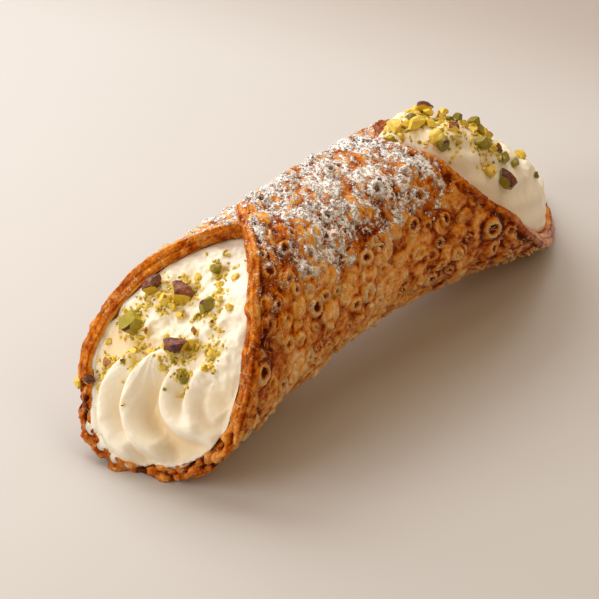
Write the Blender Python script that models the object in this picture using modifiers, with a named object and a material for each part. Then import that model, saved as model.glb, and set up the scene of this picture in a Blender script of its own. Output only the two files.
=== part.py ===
"""A cannoli lying on its long side, at real size.

A round of fried pastry is wrapped into a tube, so each end opens at a slant
and the two edges of the round lap over each other along the top.  Ricotta
cream runs through the tube and shows at both ends, and chopped pistachios
lie on it.

Frame: metres, +Z up, +X along the tube.  The origin is under the middle of
the cannoli, on the surface it rests on.  "Turn" is the angle round the tube:
0 underneath, +90 degrees on the -Y side, 180 on top.  The low mouth opens
towards -X, the high mouth towards +X.
"""

import math

import bmesh
import bpy
from mathutils import Euler, Matrix, Vector, noise
from mathutils.bvhtree import BVHTree

MM = 0.001
LOW, HIGH = 0, 1

# --- Driving dimensions, in metres and radians --------------------------------

TUBE_RADIUS = 0.0163            # outside of the pastry at mid length
WALL = 0.0028                   # thickness of the fried pastry
AXIS_HEIGHT = 0.0232            # height of the tube's middle before it is laid down
LAP_TURN = math.radians(15.0)   # how far each lap runs past the top
LAP_GAP = 0.0004                # air between the two laps
CLIMB_FROM = math.radians(99.0)     # where the outer lap starts to climb
CLIMB_TO = math.radians(161.0)      # where it lies wholly outside the inner one

# Rim of each mouth: how far it reaches from the middle in millimetres, at a
# few turns in degrees from the end of the +Y lap to the end of the -Y lap.
LOW_RIM = ((-195, 18.0), (-135, 37.0), (-75, 51.5), (-45, 57.0), (-15, 58.0),
           (30, 52.5), (75, 47.0), (135, 36.0), (195, 22.5))
HIGH_RIM = ((-195, 4.0), (-135, 22.5), (-75, 46.0), (-45, 59.5), (-15, 65.0),
            (15, 56.0), (45, 42.5), (105, 24.5), (195, 10.0))
RIM_WAVE = 0.0003               # unevenness of the fried rim

# Flare of the mouths 60 mm from the middle: mean, share under the tube, share
# on the -Y side.
LOW_FLARE = (0.0039, 0.0051, 0.0019)
HIGH_FLARE = (0.0042, 0.0033, 0.0037)
FLARE_AT = 0.060
FLARE_POWER = 1.54
REST_FLAT = 0.0005              # how much of each lip the table takes away
LIP_SPAN = 0.112                # distance between the two lips it stands on
LIP_FROM = 0.020                # a lip is looked for beyond this distance
WORKTOP = (0.20, 0.10, 0.02)    # block that cuts the lips flat

CREAM_CLEAR = 0.00055           # clearance between the cream and the wall
DUCK_FROM = math.radians(138.0)     # where the cream ducks under the inner lap
DUCK_OVER = math.radians(20.0)
BLEND_FROM = math.radians(150.0)    # where the rims of the two laps are evened out
LOW_SET_BACK = (0.0003, 0.0010)     # cream inside the rim: mean, more underneath
HIGH_SET_BACK = (0.0004, 0.0004)
LOW_DOME, LOW_DOME_POWER = 0.0026, 4.0      # how far the cream stands out
HIGH_DOME, HIGH_DOME_POWER = 0.0104, 2.6
LOW_FACING = Vector((-1.0, 0.0, 0.8)).normalized()
HIGH_FACING = Vector((0.42, 0.0, 0.9)).normalized()
SMOOTHINGS = 12                 # passes that round the middle of each mouth

# Crests of the piped ridges in the low mouth, each an arc in the YZ plane:
# centre and radius in millimetres, first and last angle in degrees from +Y.
LOW_CRESTS = (
    ((-6.5, 14.5), 16.0, -39, 28),
    ((-6.3, 12.9), 9.4, -71, 71),
    ((-14.0, 15.6), 6.5, -67, 80),
    ((-4.4, 20.0), 10.5, 142, 212),
)
LOW_RIDGE = 0.0023              # height of those ridges
RIDGE_STEEP, RIDGE_LONG = 1.5, 3.4      # their reach towards +Y and -Y, mm
# Folds across the cream of the high mouth: height and depth in millimetres.
HIGH_FOLDS = ((33.0, 0.7), (28.0, 0.5), (19.0, 0.8), (10.5, 0.9))
FOLD_REACH, FOLD_SLANT = 1.5, 0.10

# Pistachio pieces: where each one lies on the cream, then its length, width
# and thickness, all in millimetres, and a turn in degrees.
PISTACHIOS_LOW = (
    ((-41.4, 9.7, 28.9), (4.8, 3.8, 2.6), 20),
    ((-39.5, 3.7, 29.9), (5.2, 4.2, 2.8), 75),
    ((-47.1, 9.5, 24.4), (5.4, 4.6, 3.4), 140),
    ((-39.6, -2.6, 29.8), (4.4, 3.2, 2.6), 200),
    ((-47.6, -2.8, 24.3), (5.0, 3.6, 2.8), 310),
    ((-55.0, 11.6, 15.4), (3.8, 2.8, 2.2), 255),
    ((-32.8, 1.8, 32.8), (3.2, 2.8, 2.2), 100),
)
PISTACHIOS_HIGH = (
    ((18.6, 4.0, 35.7), (4.0, 3.2, 2.6), 35),
    ((28.0, 6.8, 34.8), (4.4, 3.6, 2.8), 160),
    ((24.2, -3.0, 36.1), (4.6, 3.8, 3.2), 80),
    ((35.0, 5.5, 33.0), (4.2, 3.4, 2.6), 290),
    ((36.0, -3.4, 32.4), (5.2, 4.4, 3.4), 225),
    ((41.4, 2.0, 30.8), (4.4, 3.4, 2.8), 120),
    ((39.4, -7.2, 27.1), (4.2, 3.2, 2.6), 15),
    ((35.8, -10.9, 24.7), (5.0, 3.2, 2.8), 60),
)
CHIP, CHIP_SCALE = 0.35, 2.3    # how uneven a chopped kernel is
CREAM_GAP = 0.0003              # clearance under each kernel
LIFT_STEP = 0.0001

TURN_CELLS = 46                 # cells round the pastry
LENGTH_CELLS = 24               # cells along it
BUNCHING = 0.86                 # how strongly those cells bunch at the mouths
CREAM_SECTORS = 68              # cells round the cream
LOW_RINGS, WALL_RINGS, HIGH_RINGS = 13, 6, 9
SLANT_SAMPLES = 180
SHARP = math.radians(40.0)      # edges bent more than this are shaded sharp


# --- Shape functions ----------------------------------------------------------

def smooth_step(t):
    t = min(1.0, max(0.0, t))
    return t * t * (3.0 - 2.0 * t)


def slope(knots, i):
    """Slope of the smooth curve at one of its knots."""
    (xa, ya), (xb, yb) = knots[max(0, i - 1)], knots[min(len(knots) - 1, i + 1)]
    return (yb - ya) / (xb - xa)


def along_knots(knots, place):
    """Smooth curve through the knots: a cubic between each two."""
    i = sum(1 for x, _ in knots[1:-1] if x <= place)
    (xa, ya), (xb, yb) = knots[i], knots[i + 1]
    width = xb - xa
    t = (place - xa) / width
    rise = t * (1 - t) * width * ((1 - t) * slope(knots, i) - t * slope(knots, i + 1))
    return ya + (yb - ya) * smooth_step(t) + rise


def rim_x(mouth, turn):
    """Where the rim of one mouth stands along X, at a turn."""
    reach = along_knots(LOW_RIM if mouth == LOW else HIGH_RIM, math.degrees(turn)) * MM
    wave = math.sin(7 * turn + 1 + 2 * mouth) + 0.7 * math.sin(13 * turn)
    return RIM_WAVE * wave + (-reach if mouth == LOW else reach)


def tube_radius(turn, x):
    """Outside radius of the pastry, without the climb of the outer lap."""
    mean, under, side = HIGH_FLARE if x > 0 else LOW_FLARE
    flare = mean + under * math.cos(turn) + side * math.sin(turn)
    return TUBE_RADIUS + flare * (abs(x) / FLARE_AT) ** FLARE_POWER


def lap_climb(turn):
    """The -Y lap climbs over the +Y one as it nears the top."""
    return (WALL + LAP_GAP) * smooth_step((turn - CLIMB_FROM) / (CLIMB_TO - CLIMB_FROM))


def cream_radius(turn, x):
    """The cream follows the outer lap, then ducks under the inner one."""
    duck = 1.0 - smooth_step((turn - DUCK_FROM) / DUCK_OVER)
    return tube_radius(turn, x) - WALL - CREAM_CLEAR + lap_climb(turn) * duck


def on_tube(turn, radius, x):
    return Vector((x, -radius * math.sin(turn), AXIS_HEIGHT - radius * math.cos(turn)))


# --- Objects and materials ----------------------------------------------------

def new_collection(name):
    collection = bpy.data.collections.new(name)
    bpy.context.scene.collection.children.link(collection)
    return collection


def principled(name, color, roughness):
    material = bpy.data.materials.new(name)
    material.use_nodes = True
    shader = material.node_tree.nodes["Principled BSDF"]
    shader.inputs["Base Color"].default_value = (*color, 1.0)
    shader.inputs["Roughness"].default_value = roughness
    shader.inputs["Metallic"].default_value = 0.0
    return material


def fried_pastry():
    return principled("fried_pastry", (0.60, 0.27, 0.08), 0.45)


def ricotta():
    return principled("ricotta", (0.90, 0.83, 0.68), 0.50)


def pistachio():
    return principled("pistachio", (0.45, 0.42, 0.10), 0.60)


def new_object(name, bm, collection):
    bmesh.ops.recalc_face_normals(bm, faces=bm.faces)
    mesh = bpy.data.meshes.new(name)
    bm.to_mesh(mesh)
    bm.free()
    obj = bpy.data.objects.new(name, mesh)
    collection.objects.link(obj)
    return obj


def shade_round(obj):
    obj.data.shade_smooth()
    obj.data.set_sharp_from_angle(angle=SHARP)


# --- Pastry shell -------------------------------------------------------------

def make_shell(collection, material):
    """A flat grid moved onto the wrapped round, then given its thickness."""
    sheet = bmesh.new()
    bmesh.ops.create_grid(sheet, x_segments=LENGTH_CELLS, y_segments=TURN_CELLS, size=1.0)
    bend = math.pi / 2 * BUNCHING
    for vert in sheet.verts:
        along = (1.0 + math.sin(vert.co.x * bend) / math.sin(bend)) / 2.0
        turn = vert.co.y * (math.pi + LAP_TURN)
        x = rim_x(LOW, turn) * (1.0 - along) + rim_x(HIGH, turn) * along
        vert.co = on_tube(turn, tube_radius(turn, x) + lap_climb(turn), x)
    shell = new_object("pastry_shell", sheet, collection)
    under = min(shell.data.polygons, key=lambda face: face.center.z)
    if under.normal.z > 0:
        shell.data.flip_normals()
    shell.data.materials.append(material)
    shade_round(shell)
    wall = shell.modifiers.new("Wall", 'SOLIDIFY')
    wall.thickness = WALL
    wall.offset = -1.0
    wall.use_even_offset = True
    return shell


def flatten_lips(shell, cutters):
    """Cut both lips flat where the cannoli stands on the table."""
    block = bmesh.new()
    bmesh.ops.create_cube(block, size=1.0)
    bmesh.ops.scale(block, vec=WORKTOP, verts=block.verts)
    worktop = new_object("worktop_cutter", block, cutters)
    worktop.location.z = -WORKTOP[2] / 2
    worktop.hide_render = True
    worktop.display_type = 'WIRE'
    cut = shell.modifiers.new("Rest", 'BOOLEAN')
    cut.operation = 'DIFFERENCE'
    cut.solver = 'EXACT'
    cut.object = worktop


# --- Ricotta cream ------------------------------------------------------------

def low_relief(y, z):
    """Height of the piped ridges: steep on their +Y side, long on the other."""
    best = 0.0
    for (cy, cz), radius, first, last in LOW_CRESTS:
        middle = (first + last) / 2
        angle = (math.degrees(math.atan2(z - cz, y - cy)) - middle + 180) % 360 - 180
        half = (last - first) / 2
        angle = math.radians(middle + min(half, max(-half, angle)))
        off_y = y - cy - radius * math.cos(angle)
        off_z = z - cz - radius * math.sin(angle)
        reach = RIDGE_STEEP if off_y > 0 else RIDGE_LONG
        best = max(best, math.exp(-(off_y ** 2 + off_z ** 2) / reach ** 2))
    return best * LOW_RIDGE


def high_relief(y, z):
    """Depth of the shallow folds across the high mouth."""
    total = 0.0
    for height, depth in HIGH_FOLDS:
        total -= depth * math.exp(-((z - height - FOLD_SLANT * y) / FOLD_REACH) ** 2)
    return total * MM


def cream_edge_x(mouth, turn):
    """Where the cream meets the wall: just inside the rim, evened out on top."""
    edge = rim_x(mouth, turn)
    share = smooth_step((abs(turn) - BLEND_FROM) / (math.pi - BLEND_FROM)) / 2
    if share > 0:
        other = turn - math.copysign(math.tau, turn)
        limit = math.pi + LAP_TURN
        edge += share * (rim_x(mouth, max(-limit, min(limit, other))) - edge)
    mean, under = LOW_SET_BACK if mouth == LOW else HIGH_SET_BACK
    back = mean + under * math.cos(turn)
    return edge + back if mouth == LOW else edge - back


def slant(mouth):
    """Mean, cosine share and sine share of the outline of one mouth."""
    mean, under, side = 0.0, 0.0, 0.0
    for i in range(SLANT_SAMPLES):
        turn = math.tau * (i + 0.5) / SLANT_SAMPLES - math.pi
        edge = cream_edge_x(mouth, turn) / SLANT_SAMPLES
        mean += edge
        under += 2 * edge * math.cos(turn)
        side += 2 * edge * math.sin(turn)
    return mean, under, side


def mouth_point(mouth, turn, share, shape):
    """A point of the cream's end face, at a share of the way out to the wall."""
    mean, under, side = shape
    edge = cream_edge_x(mouth, turn)
    tilt = under * math.cos(turn) + side * math.sin(turn)
    x = mean + share * tilt + share ** 2 * (edge - mean - tilt)
    point = on_tube(turn, cream_radius(turn, edge) * share, x)
    if mouth == LOW:
        return point + LOW_FACING * LOW_DOME * (1.0 - share ** LOW_DOME_POWER)
    return point + HIGH_FACING * HIGH_DOME * (1.0 - share ** HIGH_DOME_POWER)


def make_cream(collection, material):
    """A ball whose poles become the two mouths and whose belly is the tube."""
    rings = LOW_RINGS + WALL_RINGS + HIGH_RINGS
    ball = bmesh.new()
    bmesh.ops.create_uvsphere(ball, u_segments=CREAM_SECTORS, v_segments=rings, radius=1.0)
    shapes = slant(LOW), slant(HIGH)
    mouths = [], []
    for vert in ball.verts:
        ring = round(math.acos(max(-1.0, min(1.0, vert.co.z))) / math.pi * rings)
        turn = math.atan2(vert.co.y, vert.co.x)
        if LOW_RINGS < ring < rings - HIGH_RINGS:
            along = (ring - LOW_RINGS) / WALL_RINGS
            x = cream_edge_x(LOW, turn) * (1 - along) + cream_edge_x(HIGH, turn) * along
            vert.co = on_tube(turn, cream_radius(turn, x), x)
            continue
        mouth = LOW if ring <= LOW_RINGS else HIGH
        share = ring / LOW_RINGS if mouth == LOW else (rings - ring) / HIGH_RINGS
        vert.co = mouth_point(mouth, turn, share, shapes[mouth])
        mouths[mouth].append((vert, share))
    press_mouth(ball, mouths[LOW], low_relief, LOW_FACING)
    press_mouth(ball, mouths[HIGH], high_relief, HIGH_FACING)
    cream = new_object("ricotta_cream", ball, collection)
    cream.data.materials.append(material)
    shade_round(cream)
    return cream


def press_mouth(ball, places, relief, facing):
    """Even out the middle of a mouth, then press its relief into it."""
    inner = [vert for vert, share in places if share < 0.99]
    for _ in range(SMOOTHINGS):
        bmesh.ops.smooth_vert(ball, verts=inner, factor=0.5, use_axis_x=True,
                              use_axis_y=False, use_axis_z=True)
    for vert, share in places:
        fade = 1.0 - share ** 8
        vert.co += facing * relief(vert.co.y / MM, vert.co.z / MM) * fade


# --- Pistachios ---------------------------------------------------------------

def surface_of(obj):
    """A search tree over the triangles of an object's own mesh."""
    bm = bmesh.new()
    bm.from_mesh(obj.data)
    bmesh.ops.triangulate(bm, faces=bm.faces)
    tree = BVHTree.FromBMesh(bm)
    bm.free()
    return tree


def is_clear(points, faces, tree):
    """True when a piece is outside the surface, with a gap at every corner."""
    for point in points:
        hit, normal, _, gap = tree.find_nearest(point)
        if gap < CREAM_GAP or (point - hit).dot(normal) < 0:
            return False
    return not tree.overlap(BVHTree.FromPolygons(points, faces))


def make_pistachio(name, seed, spec, cream, collection, material):
    """A chopped kernel: a rounded lump with chips knocked off it."""
    where, size, spin = spec
    lump = bmesh.new()
    bmesh.ops.create_icosphere(lump, subdivisions=1, radius=0.5)
    for vert in lump.verts:
        chip = noise.noise(vert.co * CHIP_SCALE + Vector((seed * 7.1, seed * 3.3, 0.0)))
        vert.co = Vector([c * s * MM * (1.0 + CHIP * chip) for c, s in zip(vert.co, size)])
    kernel = new_object(name, lump, collection)
    kernel.data.materials.append(material)

    # Lay it on the cream, then lift it until it is clear of the surface.
    corners = [vert.co.copy() for vert in kernel.data.vertices]
    faces = [tuple(face.vertices) for face in kernel.data.polygons]
    spot, normal, _, _ = cream.find_nearest(Vector(where) * MM)
    turned = normal.to_track_quat('Z', 'X').to_matrix()
    turned = turned @ Matrix.Rotation(math.radians(spin), 3, 'Z')
    while not is_clear([spot + turned @ corner for corner in corners], faces, cream):
        spot = spot + normal * LIFT_STEP
    kernel.location = spot
    kernel.rotation_euler = turned.to_euler()
    return kernel


# --- Put it together ----------------------------------------------------------

def lip_heights(points):
    return (min(point.z for point in points if point.x < -LIP_FROM),
            min(point.z for point in points if point.x > LIP_FROM))


def lie_down(root, shell):
    """Turn and shift the whole so that both lips reach the same depth."""
    points = [vert.co for vert in shell.data.vertices]
    low, high = lip_heights(points)
    root.rotation_euler = Euler((0.0, -math.atan2(low - high, LIP_SPAN), 0.0))
    turn = root.rotation_euler.to_matrix()
    points = [turn @ point for point in points]
    for axis in (0, 1):
        side = [point[axis] for point in points]
        root.location[axis] = -(min(side) + max(side)) / 2
    root.location.z = -max(lip_heights(points)) - REST_FLAT


def main():
    for obj in list(bpy.data.objects):
        bpy.data.objects.remove(obj, do_unlink=True)
    parts = new_collection("cannoli")
    cutters = new_collection("cutters")
    root = bpy.data.objects.new("cannoli_at_rest", None)
    parts.objects.link(root)

    shell = make_shell(parts, fried_pastry())
    cream = make_cream(parts, ricotta())
    pieces = [shell, cream]
    green = pistachio()
    surface = surface_of(cream)
    for mouth, specs in (("low", PISTACHIOS_LOW), ("high", PISTACHIOS_HIGH)):
        for number, spec in enumerate(specs, 1):
            name = "pistachio_%s_%02d" % (mouth, number)
            pieces.append(make_pistachio(name, len(pieces), spec, surface, parts, green))
    for piece in pieces:
        piece.parent = root
    lie_down(root, shell)
    flatten_lips(shell, cutters)


main()
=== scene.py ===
"""Looks of a cannoli: blistered fried pastry, piped ricotta, chopped pistachios
and powdered sugar, on a pale table top.

Millimetres are used for the shapes and are turned into metres when a mesh is
made.  "Turn" is the angle round the tube: 0 underneath, +90 degrees on the -Y
side, 180 on top.  The low mouth opens towards -X, the high mouth towards +X.
"""
import math

import bmesh
import bpy
import numpy as np
from mathutils import Matrix, Vector, noise
from mathutils.bvhtree import BVHTree


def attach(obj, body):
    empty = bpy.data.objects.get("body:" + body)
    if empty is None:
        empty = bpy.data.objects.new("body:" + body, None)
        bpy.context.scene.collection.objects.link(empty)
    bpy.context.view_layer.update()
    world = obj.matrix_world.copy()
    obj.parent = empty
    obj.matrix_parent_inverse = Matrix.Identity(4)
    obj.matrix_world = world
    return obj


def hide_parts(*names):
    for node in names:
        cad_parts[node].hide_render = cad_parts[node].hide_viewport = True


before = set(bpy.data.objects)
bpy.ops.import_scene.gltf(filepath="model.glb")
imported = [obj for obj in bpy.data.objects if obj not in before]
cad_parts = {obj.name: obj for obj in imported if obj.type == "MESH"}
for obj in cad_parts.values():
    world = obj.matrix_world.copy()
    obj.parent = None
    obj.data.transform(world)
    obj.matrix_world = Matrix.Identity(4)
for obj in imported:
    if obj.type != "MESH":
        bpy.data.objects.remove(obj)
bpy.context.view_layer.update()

MM = 0.001
LOW, HIGH = 0, 1

# --- Sizes of the tube, as in the CAD -----------------------------------------

TUBE_RADIUS = 16.3
WALL = 2.8
AXIS_HEIGHT = 23.2
LAP_TURN = 15.0
LAP_GAP = 0.4
LOW_RIM = ((-195, 18.0), (-135, 36.6), (-75, 50.2), (-45, 55.7), (-15, 58.2),
           (30, 52.5), (75, 48.3), (135, 37.6), (195, 23.0))
HIGH_RIM = ((-195, 4.0), (-135, 22.5), (-75, 45.5), (-45, 58.5), (-15, 62.8),
            (15, 56.2), (45, 42.4), (105, 24.0), (150, 14.0), (195, 6.0))
LOW_FLARE = (3.9, 5.1, 1.9)
HIGH_FLARE = (4.2, 3.3, 3.7)
LIE_PITCH = math.radians(0.1691)
LIE_SHIFT = np.array((-3.528, 1.094, 0.600))
LOW_FACING = np.array((-0.781, 0.0, 0.625))
HIGH_FACING = np.array((0.423, 0.0, 0.906))


# --- Shape of the tube --------------------------------------------------------

def smooth_step(t):
    t = np.clip(t, 0.0, 1.0)
    return t * t * (3.0 - 2.0 * t)


def bump(value, centre, reach):
    return np.exp(-((value - centre) / reach) ** 2)


def along_knots(knots, place):
    xs, ys = np.array(knots, float).T
    before = np.r_[0, np.arange(len(xs) - 1)]
    after = np.r_[np.arange(1, len(xs)), len(xs) - 1]
    slopes = (ys[after] - ys[before]) / (xs[after] - xs[before])
    i = np.clip(np.searchsorted(xs, place, side='right') - 1, 0, len(xs) - 2)
    width = xs[i + 1] - xs[i]
    t = (place - xs[i]) / width
    rise = t * (1 - t) * width * ((1 - t) * slopes[i] - t * slopes[i + 1])
    return ys[i] + (ys[i + 1] - ys[i]) * smooth_step(t) + rise


def rim_x(mouth, turn):
    wave = 0.3 * (np.sin(7 * turn + 1 + 2 * mouth) + 0.7 * np.sin(13 * turn))
    reach = along_knots(LOW_RIM if mouth == LOW else HIGH_RIM, np.degrees(turn))
    return wave + (-reach if mouth == LOW else reach)


def tube_radius(turn, x):
    flare = [np.where(x > 0, high, low) for low, high in zip(LOW_FLARE, HIGH_FLARE)]
    spread = flare[0] + flare[1] * np.cos(turn) + flare[2] * np.sin(turn)
    return TUBE_RADIUS + spread * (np.abs(x) / 60.0) ** 1.54


def lap_climb(turn):
    degrees = np.degrees(turn)
    return (WALL + LAP_GAP) * smooth_step((degrees - 99.0) / 62.0)


def on_tube(turn, radius, x):
    return np.stack([x + 0 * turn, -radius * np.sin(turn),
                     AXIS_HEIGHT - radius * np.cos(turn)], axis=-1)


def laid_down(points):
    """From the tube's own axes to the place where it rests, in metres."""
    x, y, z = np.moveaxis(np.asarray(points, float), -1, 0)
    cos, sin = math.cos(LIE_PITCH), math.sin(LIE_PITCH)
    turned = np.stack([x * cos + z * sin, y, z * cos - x * sin], axis=-1)
    return (turned + LIE_SHIFT) * MM


# --- Meshes -------------------------------------------------------------------

def make_object(name, points, faces, material, smooth=True):
    mesh = bpy.data.meshes.new(name)
    mesh.from_pydata([tuple(p) for p in points], [], faces)
    mesh.materials.append(material)
    obj = bpy.data.objects.new(name, mesh)
    bpy.context.scene.collection.objects.link(obj)
    if smooth:
        mesh.shade_smooth()
    return obj


def add_attribute(obj, name, values):
    layer = obj.data.attributes.new(name, 'FLOAT', 'POINT')
    layer.data.foreach_set("value", np.asarray(values, np.float32).ravel())


def grid_faces(rows, columns, closed_columns=False, start=0):
    """Quads between neighbouring rows of points, numbered row by row."""
    faces = []
    last = columns if closed_columns else columns - 1
    for r in range(rows - 1):
        for c in range(last):
            d = (c + 1) % columns
            a, b = start + r * columns, start + (r + 1) * columns
            faces.append((a + c, a + d, b + d, b + c))
    return faces


def face_outward(obj):
    bm = bmesh.new()
    bm.from_mesh(obj.data)
    bmesh.ops.recalc_face_normals(bm, faces=bm.faces)
    if bm.calc_volume(signed=True) < 0:
        bmesh.ops.reverse_faces(bm, faces=bm.faces)
    bm.to_mesh(obj.data)
    bm.free()


def noise_at(points, scale, octaves=3, offset=0.0):
    """Fractal noise, about -1 to 1, at points in millimetres."""
    flat = np.asarray(points, float).reshape(-1, 3) / scale + offset
    values = [noise.fractal(p, 0.8, 2.0, octaves) for p in flat.tolist()]
    return np.array(values).reshape(np.asarray(points).shape[:-1])


# --- Materials ----------------------------------------------------------------

class Nodes:
    """Short calls that add shader nodes to one material."""

    def __init__(self, name):
        self.material = bpy.data.materials.new(name)
        self.material.use_nodes = True
        self.tree = self.material.node_tree
        self.shader = self.tree.nodes["Principled BSDF"]
        self.coords = self.tree.nodes.new("ShaderNodeTexCoord").outputs["Object"]

    def link(self, source, socket):
        if isinstance(source, bpy.types.NodeSocket):
            self.tree.links.new(source, socket)
        else:
            socket.default_value = source

    def attribute(self, name):
        node = self.tree.nodes.new("ShaderNodeAttribute")
        node.attribute_name = name
        return node.outputs["Fac"]

    def noise(self, scale, detail=3.0, roughness=0.55, distortion=0.0):
        node = self.tree.nodes.new("ShaderNodeTexNoise")
        self.link(self.coords, node.inputs["Vector"])
        node.inputs["Scale"].default_value = scale
        node.inputs["Detail"].default_value = detail
        node.inputs["Roughness"].default_value = roughness
        node.inputs["Distortion"].default_value = distortion
        return node.outputs["Fac"]

    def cells(self, scale, feature='F1'):
        node = self.tree.nodes.new("ShaderNodeTexVoronoi")
        node.feature = feature
        self.link(self.coords, node.inputs["Vector"])
        node.inputs["Scale"].default_value = scale
        return node.outputs["Distance"]

    def math(self, operation, a, b=0.0, clamp=False):
        node = self.tree.nodes.new("ShaderNodeMath")
        node.operation = operation
        node.use_clamp = clamp
        self.link(a, node.inputs[0])
        self.link(b, node.inputs[1])
        return node.outputs[0]

    def total(self, *parts, base=0.0):
        """A weighted sum of values."""
        result = base
        for value, weight in parts:
            result = self.math('ADD', result, self.math('MULTIPLY', value, weight))
        return result

    def remap(self, value, low, high, to_low=0.0, to_high=1.0):
        node = self.tree.nodes.new("ShaderNodeMapRange")
        node.interpolation_type = 'SMOOTHSTEP'
        self.link(value, node.inputs["Value"])
        node.inputs["From Min"].default_value = low
        node.inputs["From Max"].default_value = high
        node.inputs["To Min"].default_value = to_low
        node.inputs["To Max"].default_value = to_high
        return node.outputs["Result"]

    def ramp(self, value, stops):
        node = self.tree.nodes.new("ShaderNodeValToRGB")
        self.link(value, node.inputs["Fac"])
        elements = node.color_ramp.elements
        while len(elements) < len(stops):
            elements.new(0.5)
        for element, (place, color) in zip(elements, stops):
            element.position = place
            element.color = (*color, 1.0)
        return node.outputs["Color"]

    def mix(self, factor, a, b, blend='MIX'):
        node = self.tree.nodes.new("ShaderNodeMix")
        node.data_type = 'RGBA'
        node.blend_type = blend
        self.link(factor, node.inputs["Factor"])
        sockets = [s for s in node.inputs if s.type == 'RGBA']
        for value, socket in zip((a, b), sockets):
            self.link(value if isinstance(value, bpy.types.NodeSocket)
                      else (*value, 1.0), socket)
        return [s for s in node.outputs if s.type == 'RGBA'][0]

    def bump(self, height, distance, strength=1.0):
        node = self.tree.nodes.new("ShaderNodeBump")
        node.inputs["Strength"].default_value = strength
        node.inputs["Distance"].default_value = distance
        self.link(height, node.inputs["Height"])
        self.link(node.outputs["Normal"], self.shader.inputs["Normal"])

    def finish(self, color, roughness, **values):
        self.link(color, self.shader.inputs["Base Color"])
        self.link(roughness, self.shader.inputs["Roughness"])
        for key, value in values.items():
            self.shader.inputs[key.replace("_", " ")].default_value = value
        return self.material


def fried_pastry():
    """Golden crust with painted highlight on blister tops, painted shade in the hollows and grooves, painted
    glints, pale lines and sugar dust.
    """
    n = Nodes("fried_pastry")
    crest, hollow_shade, fry_and_shade = n.attribute("crest"), n.attribute("hollow_shade"), n.attribute("fry_and_shade")
    patch, blotch = n.noise(120.0, 3.0, 0.6), n.noise(520.0, 4.0, 0.65)
    fine = n.noise(1700.0, 3.0, 0.6)
    # Painted highlight on the crests and painted shade in the hollows; darker fry at the rims with painted
    # shade beside them.
    level = n.total((patch, 0.90), (blotch, 0.90), (fine, 0.45), (fry_and_shade, -0.36),
                    (crest, 0.54), (hollow_shade, -0.62), base=-0.500)
    golden = n.ramp(level, (
        (0.00, (0.080, 0.010, 0.001)), (0.18, (0.280, 0.042, 0.001)),
        (0.38, (0.560, 0.150, 0.006)), (0.56, (0.740, 0.290, 0.024)),
        (0.74, (0.850, 0.430, 0.085)), (0.94, (0.900, 0.670, 0.360))))
    # Thin pale lines: partly the crackled film of the fried skin, partly painted highlight.
    lines = n.math('ABSOLUTE', n.math('SUBTRACT', n.noise(330.0, 2.0, 0.5, 1.2), 0.5))
    lines = n.math('MULTIPLY', n.remap(lines, 0.0, 0.034, 1.0, 0.0), n.remap(blotch, 0.42, 0.58))
    # Specks: painted glints on the crests, partly sugar dust.
    specks = n.remap(n.total((n.noise(2600.0, 3.0, 0.7), 1.0), (crest, 0.26)), 0.68, 0.78)
    golden = n.mix(n.math('MULTIPLY', lines, 0.6), golden, (0.88, 0.58, 0.28))
    golden = n.mix(n.math('MULTIPLY', specks, 0.7), golden, (0.92, 0.72, 0.50))
    dust = n.attribute("sugar")
    cover = n.remap(n.total((n.noise(1500.0, 4.0, 0.75), 1.0), (dust, 0.34)), 0.66, 0.74)
    color = n.mix(cover, golden, (1.0, 0.99, 0.98))
    pimples = n.remap(n.cells(760.0), 0.0, 0.75, 1.0, 0.0)
    n.bump(n.total((n.noise(800.0, 4.0, 0.6), 0.3), (pimples, 0.2), (lines, 0.5), (specks, 0.2),
                   (cover, 0.7)), 0.0004, 1.0)
    rough = n.total((fine, 0.50), (cover, 0.5), base=-0.12)
    shine = n.math('SUBTRACT', n.remap(level, 0.25, 0.75, 0.06, 0.75), cover, clamp=True)
    n.link(shine, n.shader.inputs["Specular IOR Level"])
    return n.finish(color, rough, Specular_Tint=(1.0, 0.80, 0.58, 1.0))


def ricotta():
    """Ivory cream with a soft glow and a faint grain of whipped cheese."""
    n = Nodes("ricotta")
    tint = n.noise(140.0, 3.0, 0.5)
    color = n.mix(tint, (0.905, 0.860, 0.700), (0.940, 0.910, 0.810))
    # Painted shade: a yellow-tan tint on the slopes and valleys between the piped ridges.
    crease = n.attribute("crease")
    color = n.mix(n.math('MULTIPLY', crease, 0.85), color, (0.76, 0.51, 0.16))
    dust = n.math('MULTIPLY', n.attribute("dust"), n.remap(n.noise(420.0, 4.0, 0.65), 0.36, 0.62))
    color = n.mix(n.math('MULTIPLY', dust, 0.9), color, (0.76, 0.57, 0.10))
    height = n.math('ADD', n.math('MULTIPLY', n.noise(420.0, 3.0), 0.7),
                    n.math('MULTIPLY', n.noise(1700.0, 2.0), 0.2))
    n.bump(height, 0.0005, 0.5)
    material = n.finish(color, 0.42, Subsurface_Weight=0.2, Subsurface_Scale=0.0025)
    n.shader.inputs["Subsurface Radius"].default_value = (1.0, 0.6, 0.3)
    return material


def kernel():
    """Cut pistachio flesh, green to yellow."""
    n = Nodes("pistachio_kernel")
    tint = n.math('ADD', n.attribute("tint"), n.math('MULTIPLY', n.noise(700.0, 3.0), 0.35))
    color = n.ramp(tint, ((0.12, (0.12, 0.11, 0.006)), (0.40, (0.34, 0.28, 0.018)),
                          (0.70, (0.66, 0.47, 0.022)), (1.0, (0.86, 0.65, 0.12))))
    n.bump(n.noise(1600.0, 3.0), 0.0003, 0.6)
    return n.finish(color, 0.45, Subsurface_Weight=0.1, Subsurface_Scale=0.001)


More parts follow.
